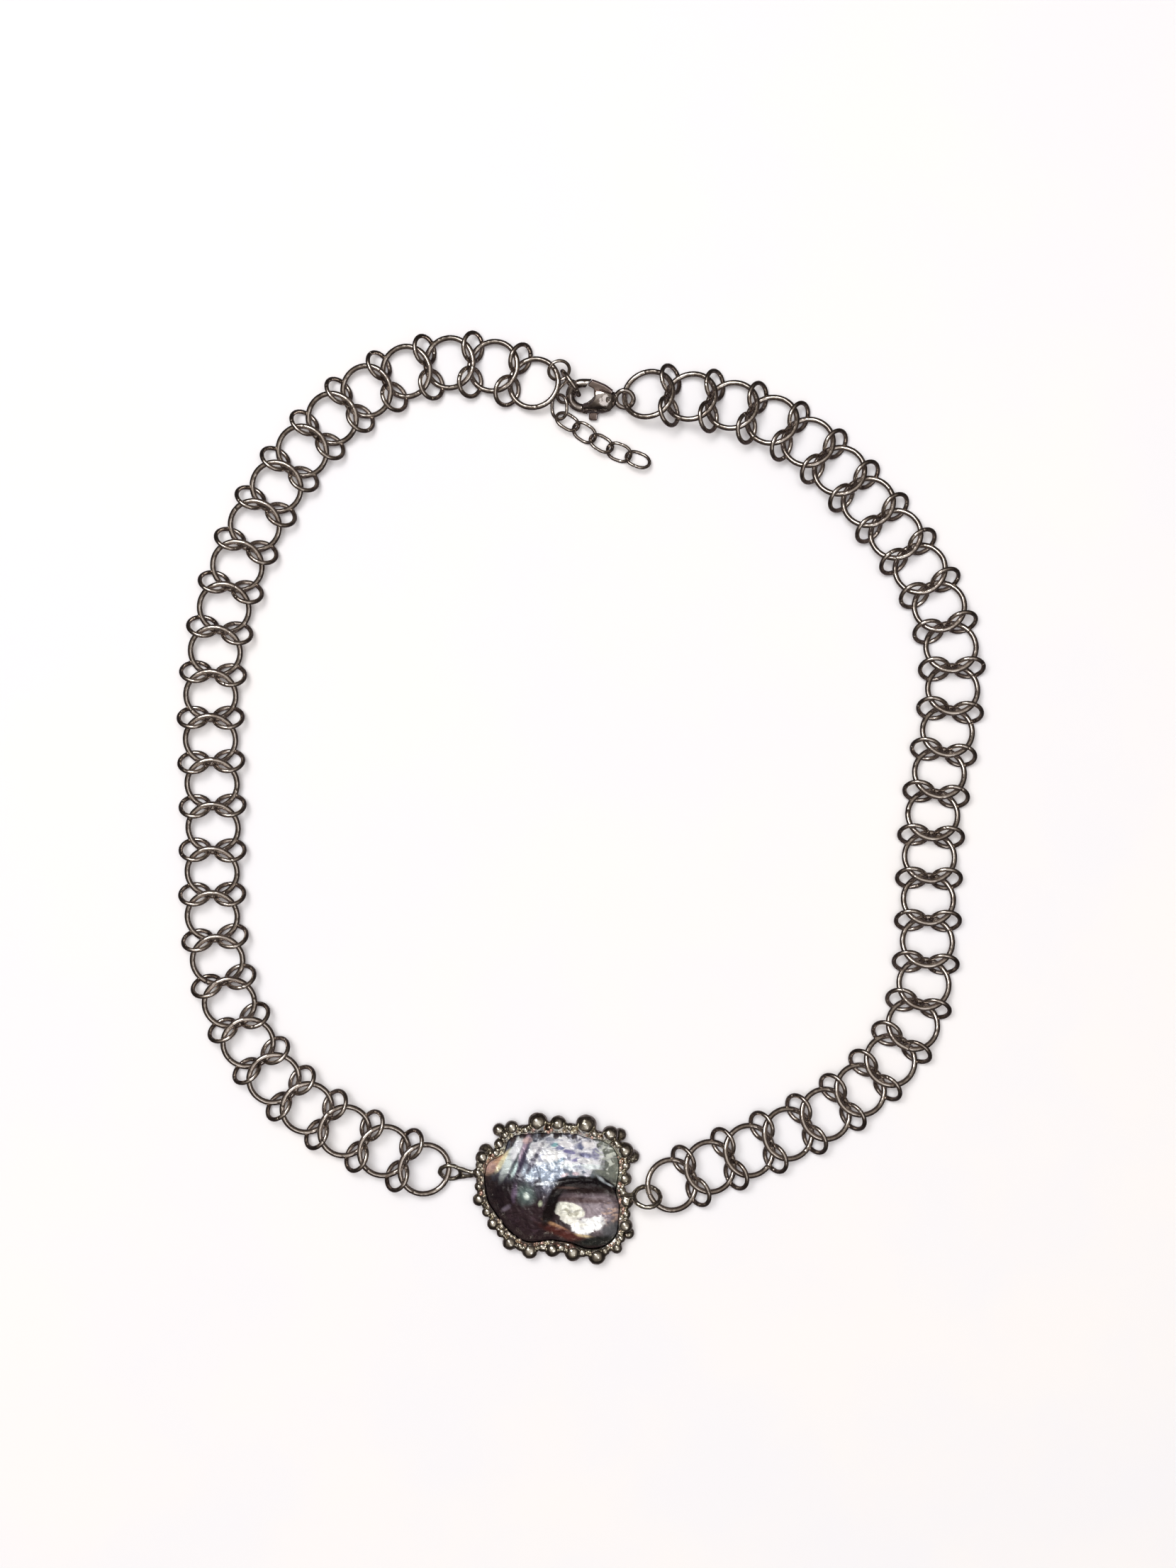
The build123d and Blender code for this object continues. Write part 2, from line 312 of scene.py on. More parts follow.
def loose_solids(node: str) -> list[np.ndarray]:
    """Splits a node's mesh into its loose solids.

    Args:
        node: The node's name.

    Returns:
        The places of each solid's vertices, in millimetres.
    """
    source = frame["nodes"][node]
    places = points_of(source) * MM
    rounded = np.round(places * SHARED_STEPS).astype(np.int64)
    _, first, ids = np.unique(rounded, axis=0, return_index=True, return_inverse=True)
    corner_vertices = np.empty(len(source.data.loops), np.int32)
    source.data.loops.foreach_get("vertex_index", corner_vertices)
    triangles = ids.ravel()[corner_vertices].reshape(-1, 3)
    ends = np.concatenate([triangles[:, :2], triangles[:, 1:]])
    labels = np.arange(len(first))
    while True:
        before = labels.copy()
        lowest = np.minimum(labels[ends[:, 0]], labels[ends[:, 1]])
        np.minimum.at(labels, ends[:, 0], lowest)
        np.minimum.at(labels, ends[:, 1], lowest)
        labels = labels[labels]
        if np.array_equal(before, labels):
            break
    order = np.argsort(labels, kind="stable")
    cuts = np.flatnonzero(np.diff(labels[order])) + 1
    return [places[first[group]] for group in np.split(order, cuts)]


def lie_of(points: np.ndarray) -> Lie:
    """Reads how a loop of wire lies.

    Args:
        points: The places of its vertices, in millimetres.

    Returns:
        The loop's lie, with its normal turned upwards.
    """
    middle = (points.max(axis=0) + points.min(axis=0)) / 2
    axes = np.linalg.svd(points - points.mean(axis=0), full_matrices=False)[2]
    local = (points - middle) @ axes.T
    span = local.max(axis=0) - local.min(axis=0)
    middle = middle + ((local.max(axis=0) + local.min(axis=0)) / 2) @ axes
    normal = Vector(axes[2])
    if normal.z < 0:
        normal = -normal
    return Lie(Vector(middle), Vector(axes[0]), normal, span[0], span[1], span[2])


def lies_in(node: str) -> list[Lie]:
    """The lies of all the loops of wire in a node."""
    return [lie_of(points) for points in loose_solids(node)]


@dataclass
class WireLoop:
    """A master loop of round wire whose two ends meet at a butt seam.

    A ring has no straight; an oval link has one on each side.
    """

    length: float
    width: float
    wire: float
    steps: int = 40
    sides: int = 16
    seam_gap: float = 0.05
    end_bevel: float = 0.07
    crease: float = 60.0

    def build(self) -> Piece:
        """Spins and extrudes the wire round from one side of its seam to the other.

        Returns:
            The loop about the origin, its seam at the middle of a straight or on the -y axis.
        """
        radius = (self.width - self.wire) / 2
        straight = max(self.length - self.width, 0.0)
        deselect_all()
        bpy.ops.mesh.primitive_circle_add(
            vertices=self.sides, radius=self.wire / 2, fill_type="NGON",
            location=(self.seam_gap / 2, -radius, 0), rotation=(0, math.pi / 2, 0),
        )
        loop = bpy.context.object
        bpy.ops.object.transform_apply(location=True, rotation=True, scale=True)
        open_mesh(loop)
        if straight > self.wire / 2:
            self.run(straight / 2 - self.seam_gap / 2)
            self.bend(straight / 2, math.pi)
            self.run(-straight)
            self.bend(-straight / 2, math.pi)
            self.run(straight / 2 - self.seam_gap / 2)
        else:
            self.bend(0.0, FULL_TURN - self.seam_gap / radius)
        bpy.ops.mesh.select_all(action="SELECT")
        bpy.ops.mesh.normals_make_consistent(inside=False)
        bpy.ops.mesh.select_all(action="DESELECT")
        bpy.ops.mesh.select_face_by_sides(number=self.sides, type="EQUAL")
        bpy.ops.mesh.bevel(offset=self.end_bevel * self.wire, segments=2)
        close_mesh()
        shade(loop, self.crease)
        return loop

    def run(self, distance: float) -> None:
        """Extrudes the open end straight along x."""
        bpy.ops.mesh.extrude_region_move(TRANSFORM_OT_translate={"value": (distance, 0, 0)})

    def bend(self, middle: float, angle: float) -> None:
        """Spins the open end about a point on the x axis."""
        steps = round(self.steps * angle / FULL_TURN)
        bpy.ops.mesh.spin(steps=steps, angle=-angle, center=(middle, 0, 0), axis=(0, 0, 1))


# Shader tools

class Shader:
    """Adds nodes to one material, world or group."""

    def __init__(self, tree: Tree) -> None:
        """Keeps the tree that nodes are added to."""
        self.tree = tree

    def link(self, source: Socket, target: Socket) -> None:
        """Joins two sockets."""
        self.tree.links.new(source, target)

    def feed(self, target: Socket, value: object) -> None:
        """Sets an input, or links an output to it.

        Args:
            target: The input.
            value: A number, a vector, a colour with its alpha, or an output.
        """
        if isinstance(value, Socket):
            self.link(value, target)
        else:
            target.default_value = value

    def fill(self, node: Node, **inputs: object) -> Node:
        """Sets or links a node's inputs, named with spaces as underscores."""
        for name, value in inputs.items():
            self.feed(node.inputs[name.replace("_", " ")], value)
        return node

    def node(self, kind: str, **settings: object) -> Node:
        """Adds a node.

        Args:
            kind: The node's type, without the ShaderNode prefix.
            **settings: Its properties, and its inputs by name with spaces as underscores.

        Returns:
            The node.
        """
        node = self.tree.nodes.new("ShaderNode" + kind)
        own = {name: value for name, value in settings.items() if hasattr(node, name)}
        for name, value in own.items():
            setattr(node, name, value)
        return self.fill(node, **{name: value for name, value in settings.items() if name not in own})

    def group(self, tree: Tree, **inputs: object) -> Node:
        """Places a node group.

        Args:
            tree: The group.
            **inputs: Its inputs by name.

        Returns:
            The group's node.
        """
        node = self.tree.nodes.new("ShaderNodeGroup")
        node.node_tree = tree
        return self.fill(node, **inputs)

    def object_place(self) -> Socket:
        """The Object coordinates."""
        return self.node("TexCoord").outputs["Object"]

    def cloud(self, place: Socket, scale: float, detail: float, distortion: float = 0.0) -> Socket:
        """The value of a noise over a place."""
        node = self.node("TexNoise", Vector=place, Scale=scale, Detail=detail, Distortion=distortion)
        return node.outputs["Fac"]

    def ramp(self, value: Socket, stops: tuple[tuple[float, Colour], ...]) -> Socket:
        """A colour ramp over a value.

        Args:
            value: The value that the ramp reads.
            stops: Place and colour of each stop.

        Returns:
            The ramp's colour.
        """
        node = self.node("ValToRGB", Fac=value)
        band = node.color_ramp.elements
        while len(band) < len(stops):
            band.new(0.5)
        for element, (place, colour) in zip(band, stops):
            element.position = place
            element.color = (*colour, 1.0)
        return node.outputs["Color"]

    def mix(self, share: Socket, first: Socket | Colour, second: Socket | Colour, blend: str = "MIX") -> Socket:
        """Mixes two colours.

        Args:
            share: How much of the second colour shows.
            first: A colour or an output.
            second: A colour or an output.
            blend: Blender's name for the way of mixing.

        Returns:
            The mixed colour.
        """
        node = self.node("Mix", data_type="RGBA", blend_type=blend)
        self.link(share, node.inputs[MIX_SHARE])
        for index, value in zip(MIX_COLOURS, (first, second)):
            self.feed(node.inputs[index], value if isinstance(value, Socket) else (*value, 1.0))
        return node.outputs[MIXED_COLOUR]

    def spread(self, value: Socket, span: Span, top: float = 1.0) -> Socket:
        """Stretches a value smoothly, from 0 at the span's start to the top at its end."""
        ends = {"From_Min": span[0], "From_Max": span[1], "To_Max": top}
        return self.node("MapRange", interpolation_type="SMOOTHSTEP", Value=value, **ends).outputs["Result"]

    def combine(self, first: object, second: object, operation: str = "ADD") -> Socket:
        """Works out one value from two.

        Args:
            first: A number or an output.
            second: A number or an output.
            operation: Blender's name for the operation.

        Returns:
            The result.
        """
        node = self.node("Math", operation=operation)
        for socket, value in zip(node.inputs, (first, second)):
            self.feed(socket, value)
        return node.outputs[0]


def new_group(name: str, inputs: dict[str, str], outputs: dict[str, str]) -> tuple[Shader, dict, dict]:
    """Starts a node group.

    Args:
        name: The group's name.
        inputs: Name and kind of each input.
        outputs: Name and kind of each output.

    Returns:
        The group's builder, its input sockets and its output sockets, by name.
    """
    tree = bpy.data.node_groups.new(name, "ShaderNodeTree")
    for label, kind in inputs.items():
        tree.interface.new_socket(label, in_out="INPUT", socket_type="NodeSocket" + kind)
    for label, kind in outputs.items():
        tree.interface.new_socket(label, in_out="OUTPUT", socket_type="NodeSocket" + kind)
    entry = tree.nodes.new("NodeGroupInput")
    exit_node = tree.nodes.new("NodeGroupOutput")
    read = {label: entry.outputs[label] for label in inputs}
    written = {label: exit_node.inputs[label] for label in outputs}
    return Shader(tree), read, written


def new_material(name: str) -> tuple[Material, Shader, Node]:
    """Starts a material with its surface shader.

    Args:
        name: The material's name.

    Returns:
        The material, its builder and its surface shader.
    """
    material = bpy.data.materials.new(name)
    material.use_nodes = True
    material.node_tree.nodes.clear()
    shader = Shader(material.node_tree)
    surface = shader.node("BsdfPrincipled")
    shader.node("OutputMaterial", Surface=surface.outputs["BSDF"])
    return material, shader, surface


def add_bump(shader: Shader, surface: Node, height: Socket, strength: float, depth: float) -> None:
    """Gives a surface shader a bump that follows a height, with its depth in metres."""
    bump = shader.node("Bump", Strength=strength, Distance=depth, Height=height)
    shader.link(bump.outputs["Normal"], surface.inputs["Normal"])


@dataclass(frozen=True)
class HandledSurface:
    """Fine wear of a handled surface: smudges, hairlines and shallow dents, as a node group."""

    smudge_scale: float = 0.6
    scratch_scale: float = 7.0
    dent_scale: float = 1.5
    scratch_height: float = 0.06
    worn: Span = (0.7, 1.3)
    tarnished: Span = (0.52, 0.75)

    def tree(self) -> Tree:
        """Builds the group.

        Returns:
            The group. Its scales are shares of its input Grain.
        """
        shader, read, written = new_group(
            "handled_metal", {"Grain": "Float", "Low": "Float", "High": "Float"},
            {"Roughness": "Float", "Height": "Float", "Tarnish": "Float"},
        )
        scaled = shader.node("VectorMath", operation="SCALE", Vector=shader.object_place(), Scale=read["Grain"])
        place = scaled.outputs[0]
        smudge = shader.cloud(place, self.smudge_scale, detail=4.0)
        scratch = shader.cloud(place, self.scratch_scale, detail=2.0, distortion=2.0)
        dents = shader.cloud(place, self.dent_scale, detail=1.0)
        roughness = shader.node("Mix", data_type="FLOAT")
        shader.link(shader.spread(shader.combine(smudge, scratch), self.worn), roughness.inputs[MIX_SHARE])
        for index, label in zip(MIX_VALUES, ("Low", "High")):
            shader.link(read[label], roughness.inputs[index])
        shader.link(roughness.outputs[MIXED_VALUE], written["Roughness"])
        fine = shader.combine(scratch, self.scratch_height, "MULTIPLY")
        shader.link(shader.combine(dents, fine), written["Height"])
        shader.link(shader.spread(smudge, self.tarnished), written["Tarnish"])
        return shader.tree


@dataclass(frozen=True)
class FrayedPatch:
    """An oval patch with a frayed edge, for the pearl's colours and its painted light and shade, as a node group.
    """

    grain_scale: float = 0.85

    def tree(self) -> Tree:
        """Builds the group.

        Returns:
            The group. Its output Mask is 1 inside the patch and fades by its input Soft.
        """
        shader, read, written = new_group(
            "nacre_patch",
            {"Place": "Vector", "Middle": "Vector", "Turn": "Vector", "Reach": "Vector", "Fray": "Float",
             "Soft": "Float"},
            {"Mask": "Float"},
        )
        local = shader.node(
            "Mapping", vector_type="TEXTURE", Vector=read["Place"], Location=read["Middle"], Rotation=read["Turn"],
            Scale=read["Reach"],
        )
        length = shader.node("VectorMath", operation="LENGTH", Vector=local.outputs[0])
        grain = shader.cloud(read["Place"], self.grain_scale, detail=3.0, distortion=0.5)
        frayed = shader.combine(shader.combine(grain, -0.5), read["Fray"], "MULTIPLY")
        distance = shader.combine(length.outputs["Value"], frayed)
        outside, inside = (shader.combine(1.0, read["Soft"], operation) for operation in ("ADD", "SUBTRACT"))
        edge = shader.node(
            "MapRange", interpolation_type="SMOOTHSTEP", Value=distance, From_Min=outside, From_Max=inside,
        )
        shader.link(edge.outputs["Result"], written["Mask"])
        return shader.tree


# Finishes

@dataclass(frozen=True, kw_only=True)
class MetalFinish:
    """Handled metal. Each kind of metal lays its own colours."""

    name: str
    roughness: Span
    grain: float
    edge: Colour = (1.0, 1.0, 1.0)
    metallic: float = 1.0
    dent_strength: float = 0.8
    dent_depth: float = 0.00016

    def base(self, shader: Shader, tarnish: Socket) -> Socket:
        """The metal's colour, given where it is tarnished."""
        raise NotImplementedError

    def material(self, wear: Tree) -> Material:
        """Builds the material.

        Args:
            wear: The group for handled surfaces.

        Returns:
            The material.
        """
        material, shader, surface = new_material(self.name)
        worn = shader.group(wear, Grain=self.grain, Low=self.roughness[0], High=self.roughness[1])
        colour = self.base(shader, worn.outputs["Tarnish"])
        shader.fill(
            surface, Base_Color=colour, Roughness=worn.outputs["Roughness"], Metallic=self.metallic,
            Specular_Tint=(*self.edge, 1.0),
        )
        if self.dent_depth:
            add_bump(shader, surface, worn.outputs["Height"], self.dent_strength, self.dent_depth)
        return material


@dataclass(frozen=True, kw_only=True)
class SteelFinish(MetalFinish):
    """Polished steel with light wear."""

    colour: Colour
    tarnish: Colour

    def base(self, shader: Shader, tarnish: Socket) -> Socket:
        """Steel, darker where it is tarnished."""
        return shader.mix(tarnish, self.colour, self.tarnish)


@dataclass(frozen=True, kw_only=True)
class SolderFinish(MetalFinish):
    """Tin solder with a dark patina, painted shade in its hollows, pale crests that are partly rubbed and partly a
    painted highlight, and pink where copper shows through.
    """

    name: str = "dark_solder"
    roughness: Span = (0.05, 0.15)
    grain: float = 700.0
    edge: Colour = (0.42, 0.39, 0.37)
    dent_strength: float = 0.6
    dent_depth: float = 0.0001
    colour: Colour = (0.78, 0.745, 0.66)
    # Dark patina colour, also used for the painted shade in the hollows
    dark: Colour = (0.44, 0.41, 0.34)
    # Pale cream of the crests: partly rubbed metal, partly a painted highlight
    rubbed_and_highlit: Colour = (0.92, 0.88, 0.80)
    copper: Colour = (0.62, 0.36, 0.28)
    cloud_scale: float = 900.0
    fleck_scale: float = 1500.0
    # Ranges of the noises, and of the pointiness, which is 0.5 where the surface is flat
    clouded: Span = (0.35, 0.62)
    # Painted shade: over this range the hollows darken towards the patina's dark colour
    hollow: Span = (0.49, 0.44)
    # Painted highlight and rubbed wear: over this range the crests turn pale cream
    crest: Span = (0.52, 0.60)
    flecked: Span = (0.56, 0.66)
    fleck_hollow: Span = (0.5, 0.46)
    rubbed_and_highlit_share: float = 0.6

    def base(self, shader: Shader, tarnish: Socket) -> Socket:
        """Clouds of patina, painted shade in the hollows, pale crests that are partly rubbed and partly a painted
        highlight, and copper flecks.

        Args:
            shader: The material's builder.
            tarnish: Not shown by this metal.

        Returns:
            The colour.
        """
        place = shader.object_place()
        cloud = shader.cloud(place, self.cloud_scale, detail=4.0)
        base = shader.mix(shader.spread(cloud, self.clouded), self.dark, self.colour)
        bulge = shader.node("NewGeometry").outputs["Pointiness"]
        # Painted shade in the hollows
        base = shader.mix(shader.spread(bulge, self.hollow), base, self.dark)
        # Pale crests: rubbed wear and a painted highlight
        base = shader.mix(shader.spread(bulge, self.crest, self.rubbed_and_highlit_share), base, self.rubbed_and_highlit)
        flecks = shader.spread(shader.cloud(place, self.fleck_scale, detail=3.0), self.flecked)
        flecks = shader.combine(flecks, shader.spread(bulge, self.fleck_hollow), "MULTIPLY")
        return shader.mix(flecks, base, self.copper)


@dataclass(frozen=True, kw_only=True)
class GrainFinish(MetalFinish):
    """Grains of bare solder, cream to copper pink, too small to show dents."""

    name: str = "bare_grains"
    roughness: Span = (0.12, 0.35)
    grain: float = 900.0
    metallic: float = 0.85
    dent_depth: float = 0.0
    cream: Colour = (0.80, 0.74, 0.60)
    copper: Colour = (0.78, 0.50, 0.42)
    dark: Colour = (0.20, 0.17, 0.13)
    patch_scale: float = 420.0
    coppery: Span = (0.42, 0.58)

    def base(self, shader: Shader, tarnish: Socket) -> Socket:
        """Lays cream and copper patches, dark where they are tarnished.

        Args:
            shader: The material's builder.
            tarnish: Where the metal is tarnished.

        Returns:
            The colour.
        """
        patches = shader.cloud(shader.object_place(), self.patch_scale, detail=2.0)
        base = shader.mix(shader.spread(patches, self.coppery), self.cream, self.copper)
        return shader.mix(tarnish, base, self.dark)


@dataclass(frozen=True)
class Patch:
    """One patch of colour on the pearl, in millimetres from the pendant's middle."""

    middle: Span
    reach: Span
    turn: float
    colour: Colour
    strength: float = 1.0
    fray: float = 0.9
    soft: float = 0.35
    islands: bool = False


# The pearl's colours, with painted shade, painted highlights and painted reflections among them, each laid over
# those before it
NACRE_PATCHES = (
    # Slate and grey-green ground of the upper half
    Patch((0.5, 4.6), (11.5, 4.8), 0.0, (0.20, 0.23, 0.29), soft=0.25),
    Patch((10.0, 4.8), (3.6, 5.0), 0.1, (0.24, 0.26, 0.22), fray=1.2),
    Patch((-4.6, 1.8), (4.6, 5.4), 1.0, (0.10, 0.10, 0.14), 0.85),
    # Near-white upper middle with blue and slate islands: pale nacre with a painted reflection of the overhead
    # light
    Patch((0.4, 6.9), (5.2, 2.5), 0.05, (0.96, 0.98, 1.0), fray=1.5, soft=0.15),
    Patch((5.2, 6.3), (4.0, 2.9), -0.25, (0.95, 0.95, 1.0), fray=1.6, soft=0.15),
    Patch((4.6, 4.3), (4.4, 0.5), -0.03, (0.92, 1.0, 1.0), soft=0.2),
    Patch((1.2, 7.6), (0.8, 0.4), 0.2, (0.16, 0.19, 0.34), fray=1.1),
    Patch((2.9, 6.9), (1.1, 0.35), -0.15, (0.24, 0.22, 0.42), fray=1.2),
    Patch((4.9, 7.8), (0.6, 0.6), 0.0, (0.22, 0.24, 0.38), fray=1.1),
    Patch((5.8, 6.3), (1.5, 0.42), -0.2, (0.17, 0.17, 0.30), fray=1.2),
    Patch((4.2, 5.5), (1.1, 0.35), 0.1, (0.30, 0.28, 0.50), fray=1.2),
    Patch((7.6, 6.4), (0.6, 1.1), 0.2, (0.34, 0.33, 0.50), 0.9, fray=1.3),
    Patch((0.2, 8.1), (0.8, 0.35), 0.1, (0.22, 0.52, 0.56), 0.9, fray=1.0),
    Patch((-0.6, 9.0), (0.9, 0.35), 0.0, (0.30, 0.34, 0.40), 0.9, fray=1.0),
    Patch((0.6, 5.4), (1.5, 0.5), 0.2, (0.26, 0.42, 0.52), 0.8, fray=1.4),
    Patch((3.2, 6.6), (7.4, 2.8), 0.0, (0.30, 0.31, 0.46), 0.7, fray=0.8, islands=True),
    # Pure white blobs: painted highlights
    Patch((-0.2, 6.2), (1.5, 1.1), 0.3, (1.0, 1.0, 1.0), fray=1.5, soft=0.2),
    Patch((-2.9, 7.4), (0.9, 1.2), -0.4, (0.98, 0.97, 1.0), fray=1.5, soft=0.2),
    Patch((6.4, 8.0), (1.1, 0.6), -0.2, (1.0, 0.98, 1.0), fray=1.4, soft=0.2),
    Patch((5.7, 5.3), (1.6, 0.45), -0.1, (1.0, 1.0, 1.0), fray=1.4, soft=0.2),
    Patch((2.2, 8.2), (1.4, 0.45), -0.1, (0.99, 0.97, 1.0), fray=1.4, soft=0.2),
    # Blue-grey middle with pale flecks and a black fold
    Patch((-1.2, 3.0), (3.2, 1.9), 0.3, (0.30, 0.36, 0.46), 0.9, fray=1.3),
    Patch((-1.5, 3.2), (3.0, 1.8), 0.3, (0.74, 0.82, 0.92), 0.9, fray=1.2, islands=True),
    Patch((-2.7, 1.2), (0.8, 1.3), 0.3, (0.03, 0.03, 0.05), fray=1.2),
    Patch((-1.2, 1.4), (1.5, 0.35), 0.1, (0.80, 0.86, 0.92), 0.9, fray=1.5),
    Patch((-4.55, 3.2), (0.9, 1.3), 0.3, (0.66, 0.78, 0.90), fray=1.2, soft=0.5),
    # Olive right side with pale specks
    Patch((10.2, 5.2), (2.4, 3.8), 0.2, (0.84, 0.88, 0.78), 0.9, fray=1.3, islands=True),
    Patch((9.0, 4.6), (0.5, 1.2), -0.3, (0.10, 0.11, 0.10), 0.5, fray=1.6),
    # Long pale streaks and warm edge on the left
    Patch((-10.2, 4.6), (2.5, 0.8), 0.75, (0.70, 0.44, 0.30), soft=0.5),
    Patch((-11.4, 4.0), (1.2, 0.9), 0.2, (0.62, 0.40, 0.34), fray=0.8, soft=0.5),
    Patch((-9.1, 5.1), (2.2, 0.45), 1.0, (0.98, 0.90, 0.60), soft=0.5),
    Patch((-8.0, 5.0), (3.8, 0.70), 1.15, (0.90, 1.0, 0.98), fray=1.1),
    Patch((-6.6, 7.0), (2.2, 0.9), 1.15, (0.92, 0.93, 0.97), fray=1.1, soft=0.3),
    Patch((-7.1, 3.6), (1.5, 0.45), 1.2, (0.80, 1.0, 0.98), fray=1.1, soft=0.5),
    Patch((-7.0, 4.6), (3.2, 0.26), 1.15, (0.08, 0.10, 0.11), 0.9, fray=1.3, soft=0.6),
    Patch((-5.2, 7.4), (2.4, 0.50), 1.25, (0.52, 0.38, 0.50), 0.85, fray=1.2, soft=0.6),
    Patch((-4.7, 8.8), (0.8, 0.5), 0.2, (0.86, 0.62, 0.60), 0.9, soft=0.5),
    Patch((-5.6, 5.2), (3.8, 0.36), 1.2, (0.05, 0.04, 0.08), 0.95, fray=1.5, soft=0.6),
    Patch((-3.7, 5.2), (3.2, 0.46), 1.05, (0.06, 0.05, 0.09), 0.9, fray=1.7, soft=0.6),
    # Brown-black lower left with its glints
    Patch((-7.2, -2.0), (5.6, 4.4), -0.45, (0.016, 0.010, 0.013), fray=0.8, soft=0.5),
    Patch((-3.0, -5.2), (6.4, 3.8), -0.35, (0.036, 0.020, 0.024), soft=0.5),
    Patch((-4.2, -6.0), (3.6, 1.6), -0.4, (0.085, 0.050, 0.064), 0.8, fray=1.2, soft=0.6, islands=True),
    Patch((-4.9, -0.7), (1.3, 1.5), 0.4, (0.14, 0.20, 0.19), fray=1.2, soft=0.9),
    Patch((-4.8, -0.95), (0.42, 0.55), 0.3, (0.90, 1.0, 0.92), soft=0.8),
    Patch((-2.35, -2.2), (0.30, 0.42), -0.3, (0.62, 0.68, 0.48), soft=0.9),
    Patch((-8.5, -3.3), (0.8, 0.35), 0.6, (0.26, 0.21, 0.26), soft=0.9),
    Patch((-7.0, -0.4), (0.40, 1.3), -0.1, (0.20, 0.14, 0.23), 0.8, fray=1.4, soft=0.9),
    # Lilac and copper hollow, with painted shade on its upper wall and cream and white painted reflections in it
    Patch((5.8, -2.6), (5.9, 2.7), -0.15, (0.17, 0.125, 0.14), fray=0.6, soft=0.4),
    Patch((7.2, -4.3), (4.0, 3.2), 0.1, (0.34, 0.28, 0.31), fray=0.8, soft=0.6),
    Patch((10.3, -4.6), (1.5, 2.4), 0.1, (0.62, 0.44, 0.36), 0.9, fray=1.2, soft=0.3, islands=True),
    # Painted shade on the hollow's upper wall, under the arch
    Patch((5.2, -1.9), (4.6, 0.5), -0.08, (0.09, 0.05, 0.05), 0.9, soft=0.6),
    # Cream patch with its ripples, white glare and a cream streak: painted reflections
    Patch((2.7, -3.7), (2.9, 1.45), -0.25, (0.97, 0.96, 0.84), fray=0.35, soft=0.1),
    Patch((2.9, -3.9), (2.4, 1.1), -0.25, (0.42, 0.40, 0.30), 0.75, fray=0.8, islands=True),
    Patch((6.1, -6.5), (3.2, 1.35), 0.28, (1.0, 1.0, 0.98), soft=0.15),
    Patch((3.6, -5.8), (2.6, 0.7), -0.3, (0.95, 0.93, 0.84), fray=0.8, soft=0.2),
    # Copper and gold bands and the dark bottom
    Patch((0.9, -6.7), (2.6, 0.34), -0.5, (0.66, 0.38, 0.20), fray=0.4, soft=0.6),
    Patch((4.0, -8.2), (2.6, 0.30), -0.12, (0.80, 0.62, 0.34), 0.9, fray=0.7, soft=0.5),
    Patch((2.2, -8.0), (4.4, 0.9), -0.4, (0.11, 0.028, 0.022), fray=0.6, soft=0.5),
    Patch((10.6, -7.6), (2.2, 1.6), 0.7, (0.13, 0.13, 0.14), fray=1.0, soft=0.5),
    Patch((7.6, -9.4), (4.2, 0.9), 0.12, (0.022, 0.024, 0.022), soft=0.4),
    # Black arch over the hollow: painted shade of the ridge's steep wall, with painted highlights along its lip
    Patch((-0.6, -3.4), (3.2, 1.0), 1.2, (0.014, 0.009, 0.009), fray=0.5, soft=0.3),
    Patch((0.9, 0.2), (3.1, 0.95), 0.95, (0.012, 0.009, 0.010), fray=0.5, soft=0.3),
    Patch((4.8, 1.5), (4.6, 1.25), 0.0, (0.009, 0.006, 0.008), fray=0.5, soft=0.3),
    Patch((9.6, 0.9), (2.6, 0.85), -0.72, (0.010, 0.008, 0.010), fray=0.5, soft=0.3),
    Patch((5.4, 0.1), (4.8, 0.9), -0.05, (0.028, 0.016, 0.016), fray=0.7, soft=0.5),
    Patch((2.6, 0.55), (1.3, 0.20), -0.1, (0.30, 0.18, 0.15), 0.8, fray=1.0, soft=0.9),
    # Painted highlights along the ridge's lip
    Patch((2.0, 2.9), (0.7, 0.28), 0.35, (0.62, 0.50, 0.54), fray=0.5, soft=0.5),
    Patch((4.0, 3.1), (0.6, 0.30), 0.0, (0.78, 0.62, 0.66), fray=0.5, soft=0.5),
    Patch((6.0, 2.9), (0.6, 0.30), -0.1, (0.74, 0.72, 0.80), fray=0.5, soft=0.5),
    Patch((8.6, 2.0), (0.9, 0.22), -0.75, (0.62, 0.68, 0.72), fray=1.2, soft=0.9),
    Patch((10.0, 0.9), (0.7, 0.16), -0.55, (0.60, 0.66, 0.70), fray=0.5, soft=0.6),
)


@dataclass(frozen=True)
class Drift:
    """A noise that is turned and drawn out, for the pearl's islands and ripples."""

    turn: float
    stretch: Triple
    scale: float
    distortion: float

    def value(self, shader: Shader, place: Socket) -> Socket:
        """The noise's value over a place."""
        drawn = shader.node("Mapping", Vector=place, Rotation=(0.0, 0.0, self.turn), Scale=self.stretch)
        return shader.cloud(drawn.outputs[0], self.scale, detail=3.0, distortion=self.distortion)


